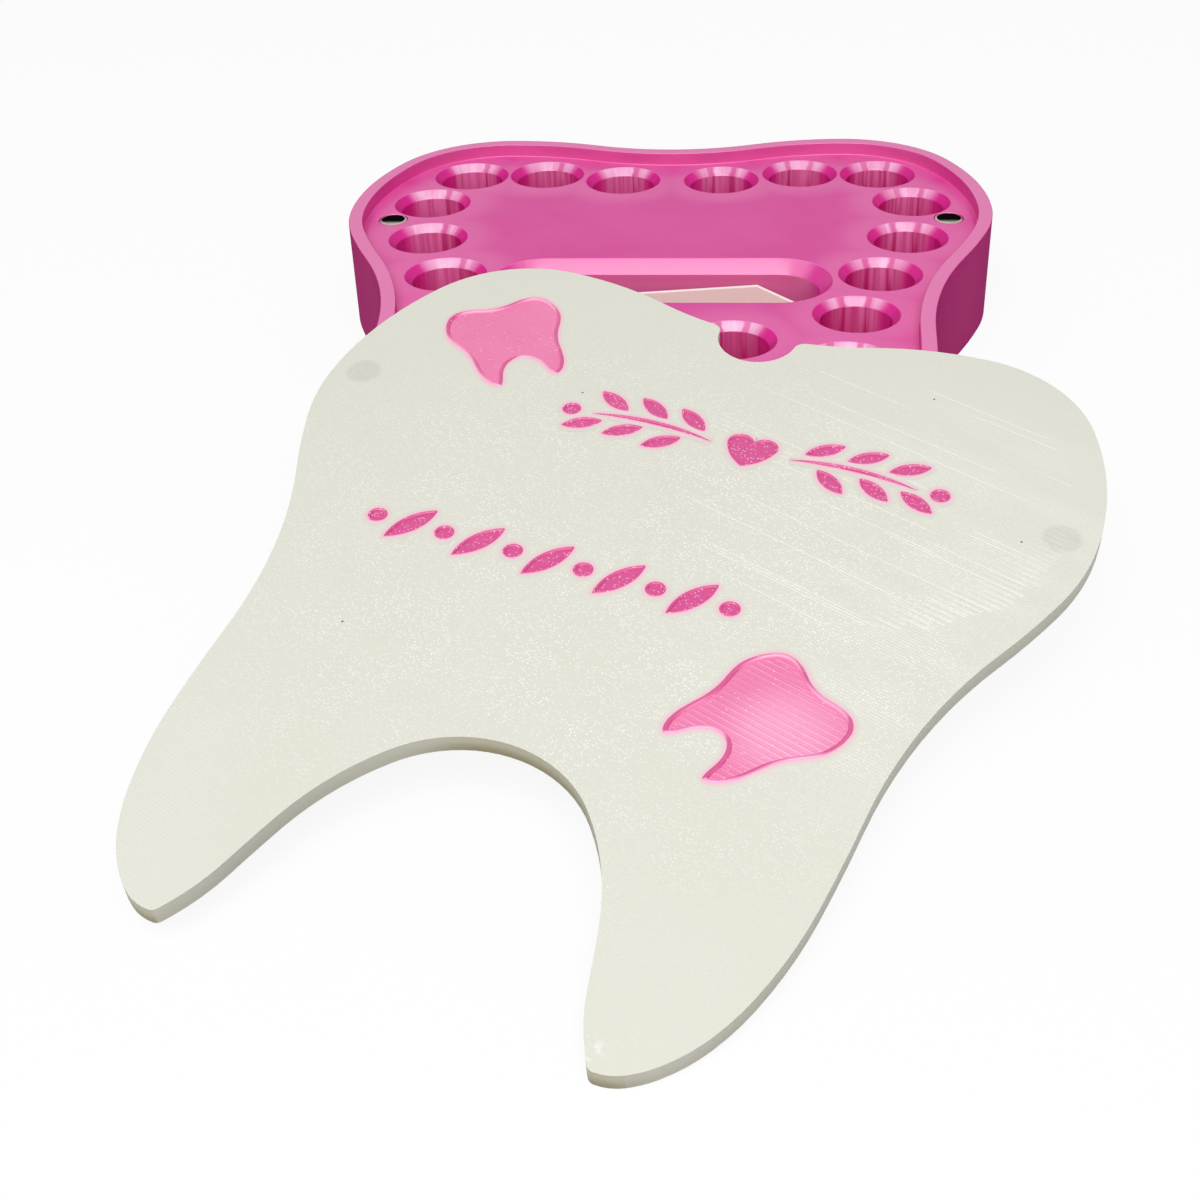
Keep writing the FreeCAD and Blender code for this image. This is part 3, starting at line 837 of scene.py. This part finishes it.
def make_glow(name, outlines, width, top, material):
    """A thin ribbon on the lid's top round each outline, which fades outwards."""
    glow = bmesh.new()
    fade = glow.verts.layers.float.new("fade")
    for number, outline in enumerate(outlines, start=1):
        points = even_points(outline, width / 2)
        height = top + GLOW_GAP + number * GLOW_STEP
        rows = []
        for step in GLOW_ROWS:
            places = spread(points, width * step) if step else points
            row = [glow.verts.new((spot.x, spot.y, height)) for spot in places]
            for vert in row:
                vert[fade] = 1 - step
            rows.append(row)
        for inner, outer in zip(rows, rows[1:]):
            for here in range(len(points)):
                after = (here + 1) % len(points)
                glow.faces.new((inner[after], inner[here], outer[here], outer[after]))
    mesh = bpy.data.meshes.new(name)
    glow.transform(LID)
    glow.to_mesh(mesh)
    glow.free()
    mesh.shade_smooth()
    mesh.materials.append(material)
    ribbon = bpy.data.objects.new(name, mesh)
    bpy.context.collection.objects.link(ribbon)
    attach(ribbon, "lid")


def inlay_finish(name, pink, pale, looks, sparkle, shine=None):
    """Silky pink print with fine sparkle, painted paler towards the front, along beads that run
    sideways and within a reach of the place where it shines.
    """
    material, f = new_finish(name)
    spot = f.place(TO_LID)
    x, y, _ = f.split(spot)
    # Painted glints: sparkle painted as pale pink dots
    gap, pick = f.cells(spot, 0.3)
    spark = pick.between(1 - sparkle, 1.0) * (1 - gap.between(0.06, 0.12))
    cloud = f.noise(spot, 0.15, 3.0).between(0.3, 0.7)
    # Painted light: faces towards the front, beads that run sideways and the place where a figure
    # shines are painted paler
    front = f.vector("DOT_PRODUCT", f.normal(), LID.col[1].xyz, output="Value").between(-0.15, -0.6)
    sideways = f.node("ShaderNodeAttribute", {"attribute_name": "sideways"}, None, "Fac")
    share = cloud * 0.15 + front * 0.7 + sideways.between(0.6, 0.95) * 0.7
    if shine:
        place, reach = shine
        away = f.vector("DISTANCE", f.join(x, y, 0.0), place, output="Value")
        share = share + 0.66 - away.between(reach * 0.2, reach * 0.9) * 0.64
    base = f.mix(f.math("MINIMUM", share, 1.0), pink, pale)
    base = f.mix(spark, base, looks.glint)
    height = f.noise(spot, 5.0, 3.0)
    f.surface(
        base,
        0.45 - spark * 0.1,
        f.bump(height, 0.015),
        **{
            "Coat Weight": 0.5 - cloud * 0.2,
            "Coat Roughness": 0.28,
            "Coat IOR": 1.6,
            "Specular IOR Level": 0.2,
        },
    )
    return material


def shine_place(outline):
    """Where a figure shines, in millimetres, and how far from there."""
    xs, ys = [spot.x / MM for spot in outline], [spot.y / MM for spot in outline]
    width, height = max(xs) - min(xs), max(ys) - min(ys)
    return (min(xs) + width * 0.65, min(ys) + height * 0.45, 0.0), width * 0.5


class DressFigures(bpy.types.Operator):
    """Gives the two tooth figures their print, the lines that fill them and the bead round each"""

    bl_idname = "tooth_box.dress_figures"
    bl_label = "Dress the tooth figures"

    def execute(self, context):
        looks = context.scene.tooth_box_inlays
        turn = context.scene.tooth_box_lid.raster_turn
        bead_pink = inlay_finish("pink_bead_print", looks.border, looks.pale, looks, 0.02)
        for name in FIGURES:
            outlines = top_outlines(name)
            top = outlines[0][0].z
            shine = shine_place(outlines[0]) if name == SHINING else None
            print_pink = inlay_finish(f"{name}_print", looks.figure, looks.pale, looks, 0.05, shine)
            dress([name], print_pink)
            edge = border_paths(outlines, looks.bead, BEAD_OVERLAP)
            border = inlay_beads(f"{name}_bead", edge, looks.bead, top + looks.rise)
            mark_runs(border, edge)
            border.data.materials.append(bead_pink)
            inner = inset_points(even_points(outlines[0], looks.bead / 3), looks.bead * 1.1)
            paths = zigzag_paths(inner, turn, looks.line_pitch)
            relief = 1.0 if name == SHINING else 0.5
            crest = top + looks.line_rise * relief
            width = looks.line_pitch * LINE_WIDTH
            flat = LINE_HEIGHT * relief
            fill = inlay_beads(f"{name}_lines", paths, width, crest, closed=False, squash=flat)
            fill.data.materials.append(print_pink)
        return {"FINISHED"}


class DressOrnaments(bpy.types.Operator):
    """Gives the two ornaments their sparkling print and the bead round each of their pieces"""

    bl_idname = "tooth_box.dress_ornaments"
    bl_label = "Dress the ornaments"

    def execute(self, context):
        looks = context.scene.tooth_box_inlays
        material = inlay_finish("pink_ornament_print", looks.ornament, looks.figure, looks, 0.3)
        dress(ORNAMENTS, material)
        for name in ORNAMENTS:
            outlines = top_outlines(name)
            edge = border_paths(outlines, looks.fine_bead, FINE_OVERLAP)
            crest = outlines[0][0].z + looks.rise * 0.8
            border = inlay_beads(f"{name}_beads", edge, looks.fine_bead, crest)
            border.data.materials.append(material)
        return {"FINISHED"}


class AddGlow(bpy.types.Operator):
    """Lays the pink glow of each inlay on the white plastic round it"""

    bl_idname = "tooth_box.add_glow"
    bl_label = "Add the glow round the inlays"

    def execute(self, context):
        looks = context.scene.tooth_box_inlays
        material = glow_finish(looks, context.scene.tooth_box_lid.plastic)
        top = max((TO_LID @ vertex.co).z for vertex in nodes["lid"].data.vertices)
        for name in FIGURES + ORNAMENTS:
            make_glow(f"{name}_glow", top_outlines(name), looks.glow_width, top, material)
        return {"FINISHED"}


# Magnets and card


def nickel_finish(looks):
    """Nickel plate painted dark as a reflection, with a bright edge and a painted highlight as a bright
    crescent on the near side.
    """
    material, f = new_finish("dark_nickel_plate")
    spot = f.place()
    _, y, _ = f.split(spot)
    normal = f.node("ShaderNodeNewGeometry", None, None, "True Normal")
    _, _, nz = f.split(normal)
    cloud = f.noise(spot, 0.8, 3.0).between(0.3, 0.7)
    middle = (MAGNET_BOX[0][1] + MAGNET_BOX[1][1]) / 2 / MM
    # Painted highlight: a bright crescent on the near side of each face
    near = y.between(middle - 0.7, middle - 2.3)
    bright = f.math("MAXIMUM", nz.size() < 0.99, near * 0.8) * (1 - cloud * 0.2)
    base = f.mix(bright, looks.nickel, looks.bright)
    relief = f.bump(f.noise(spot, 8.0, 2.0), 0.004, normal)
    f.surface(base, 0.25 + cloud * 0.1, relief, Metallic=bright, **{"Specular IOR Level": 0.0})
    return material


class DressMagnets(bpy.types.Operator):
    """Gives the disc magnets their nickel plate, painted dark as a reflection, and rounded, brighter
    edges
    """

    bl_idname = "tooth_box.dress_magnets"
    bl_label = "Dress the magnets"

    def execute(self, context):
        looks = context.scene.tooth_box_small
        dress(MAGNETS, nickel_finish(looks))
        for name in MAGNETS:
            soften(name, looks.chamfer, join_flats=True)
        return {"FINISHED"}


def card_frame():
    """The card's frame, on its front face, and the corners of its free edges from right to left."""
    card = nodes["keepsake_card"].data
    facing = max(card.polygons, key=lambda face: face.area).normal
    facing = facing * math.copysign(1, facing.z)
    aside = Vector((1.0, 0.0, 0.0))
    turn = Matrix((aside, facing.cross(aside), facing)).transposed()
    front = max(vertex.co.dot(facing) for vertex in card.vertices)
    sheet = Matrix.Translation(facing * front) @ turn.to_4x4()
    to_sheet = sheet.inverted()
    corners = {(to_sheet @ vertex.co).to_tuple(6) for vertex in card.vertices}
    corners = [Vector(corner) for corner in corners if corner[2] > -WELD]
    half = (min(corner.y for corner in corners) + max(corner.y for corner in corners)) / 2
    free = [corner for corner in corners if corner.y > half]
    return sheet, sorted(free, key=lambda corner: -corner.x)


def card_finish(name, tone):
    """Smooth paper with faint, warmer fibres."""
    material, f = new_finish(name)
    fibre = f.noise(f.place(), 3.0, 4.0)
    warm = tuple(part * share for part, share in zip(tone, FIBRE_SHARES))
    base = f.mix(fibre.between(0.3, 0.7) * 0.5, tone, warm)
    f.surface(base, 0.62 + fibre * 0.1, f.bump(fibre, 0.02))
    return material


class DressCard(bpy.types.Operator):
    """Gives the keepsake card its smooth white paper, painted darker as shade, and a cut edge painted
    bright as a highlight
    """

    bl_idname = "tooth_box.dress_card"
    bl_label = "Dress the card"

    def execute(self, context):
        looks = context.scene.tooth_box_small
        bead = looks.card_bead
        # Painted shade on the card's face and a painted highlight on its cut edge
        dress(["keepsake_card"], card_finish("white_card", looks.card))
        sheet, corners = card_frame()
        edge = sweep("card_edge", [corners], bead, bead / 4, closed=False, frame_of_paths=sheet)
        edge.data.materials.append(card_finish("bright_card_edge", looks.card_edge))
        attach(edge, "tray")
        return {"FINISHED"}


# Stage


def soft_light(name, place, target, side, power):
    lamp = bpy.data.lights.new(name, "AREA")
    lamp.size = side
    lamp.energy = power
    light = bpy.data.objects.new(name, lamp)
    light.location = place
    light.rotation_euler = (Vector(target) - Vector(place)).to_track_quat("-Z", "Y").to_euler()
    bpy.context.collection.objects.link(light)


def seen(finish):
    """1 for a ray from the camera, or one that a glossy or clear surface sends on."""
    path = finish.node("ShaderNodeLightPath", None, None, "Is Camera Ray")
    straight = finish.math("MAXIMUM", path, path["Is Glossy Ray"])
    return finish.math("MAXIMUM", straight, path["Is Transmission Ray"])


def lay_floor(setup):
    """A white floor that keeps a share of the object's shadow."""
    mesh = bpy.data.meshes.new("floor")
    board = bmesh.new()
    bmesh.ops.create_grid(board, x_segments=8, y_segments=8, size=FLOOR_REACH)
    bmesh.ops.translate(board, verts=board.verts, vec=(0.0, 0.0, -FLOOR_DROP))
    board.to_mesh(mesh)
    board.free()
    floor = bpy.data.objects.new("floor", mesh)
    bpy.context.collection.objects.link(floor)
    material, f = new_finish("white_floor")
    grey = tuple(part * setup.bounce for part in setup.floor[:3]) + (1.0,)
    matt = f.node("ShaderNodeBsdfDiffuse", None, {"Color": f.mix(seen(f), grey, setup.floor)})
    white = f.node("ShaderNodeEmission", None, {"Color": setup.floor})
    f.show(f.node("ShaderNodeMixShader", None, {0: seen(f) * (1 - setup.shadow), 1: matt, 2: white}))
    mesh.materials.append(material)


def set_surround(setup):
    """Soft light from all round, with a background that meets the far floor at the same level."""
    world = bpy.data.worlds.new("soft_surround")
    world.use_nodes = True
    f = Finish(world.node_tree)
    far_floor = 1 - setup.shadow * (1 - setup.fill)
    strength = seen(f) * (far_floor - setup.fill) + setup.fill
    around = f.node("ShaderNodeBackground", None, {"Color": setup.floor, "Strength": strength})
    f.node("ShaderNodeOutputWorld", None, {"Surface": around})
    bpy.context.scene.world = world


def set_camera(setup):
    lens = bpy.data.cameras.new("camera")
    lens.lens = setup.lens
    lens.sensor_width = FRAME_WIDTH
    lens.clip_start = 0.01
    camera = bpy.data.objects.new("camera", lens)
    turn = Matrix.Rotation(-setup.camera_turn, 4, "Z")
    dip = Matrix.Rotation(math.pi / 2 - setup.camera_dip, 4, "X")
    roll = Matrix.Rotation(setup.camera_roll, 4, "Z")
    camera.matrix_world = Matrix.Translation(setup.camera_place) @ turn @ dip @ roll
    bpy.context.collection.objects.link(camera)
    bpy.context.scene.camera = camera


class SetStage(bpy.types.Operator):
    """Lays a white floor and sets soft studio light and the camera"""

    bl_idname = "tooth_box.set_stage"
    bl_label = "Set the stage"

    def execute(self, context):
        setup = context.scene.tooth_box_stage
        lay_floor(setup)
        set_surround(setup)
        soft_light("front_softbox", setup.key_place, (0.0, -0.03, 0.0), setup.key_size, setup.key)
        set_camera(setup)
        context.scene.view_settings.view_transform = "Standard"
        return {"FINISHED"}


# Add-on


GROUPS = {
    "tooth_box_tray": TrayLooks,
    "tooth_box_lid": LidLooks,
    "tooth_box_inlays": InlayLooks,
    "tooth_box_small": SmallLooks,
    "tooth_box_stage": StageSetup,
}
STEPS = (DressTray, DressLid, DressFigures, DressOrnaments, AddGlow, DressMagnets, DressCard, SetStage)


class ToothBoxPanel(bpy.types.Panel):
    """Lists the looks of the milk tooth box and the steps that make them"""

    bl_idname = "VIEW3D_PT_tooth_box"
    bl_label = "Tooth box"
    bl_space_type = "VIEW_3D"
    bl_region_type = "UI"
    bl_category = "Tooth box"

    def draw(self, context):
        for pointer, group in GROUPS.items():
            box = self.layout.box()
            box.label(text=group.__doc__)
            for name in group.__annotations__:
                box.prop(getattr(context.scene, pointer), name)
        for step in STEPS:
            self.layout.operator(step.bl_idname)


CLASSES = (*GROUPS.values(), *STEPS, ToothBoxPanel)


def register():
    for item in CLASSES:
        bpy.utils.register_class(item)
    for pointer, group in GROUPS.items():
        setattr(bpy.types.Scene, pointer, bpy.props.PointerProperty(type=group))


def unregister():
    for pointer in GROUPS:
        delattr(bpy.types.Scene, pointer)
    for item in reversed(CLASSES):
        bpy.utils.unregister_class(item)


def main():
    register()
    bpy.ops.tooth_box.dress_tray()
    bpy.ops.tooth_box.dress_lid()
    bpy.ops.tooth_box.dress_figures()
    bpy.ops.tooth_box.dress_ornaments()
    bpy.ops.tooth_box.add_glow()
    bpy.ops.tooth_box.dress_magnets()
    bpy.ops.tooth_box.dress_card()
    bpy.ops.tooth_box.set_stage()


if __name__ == "__main__":
    main()
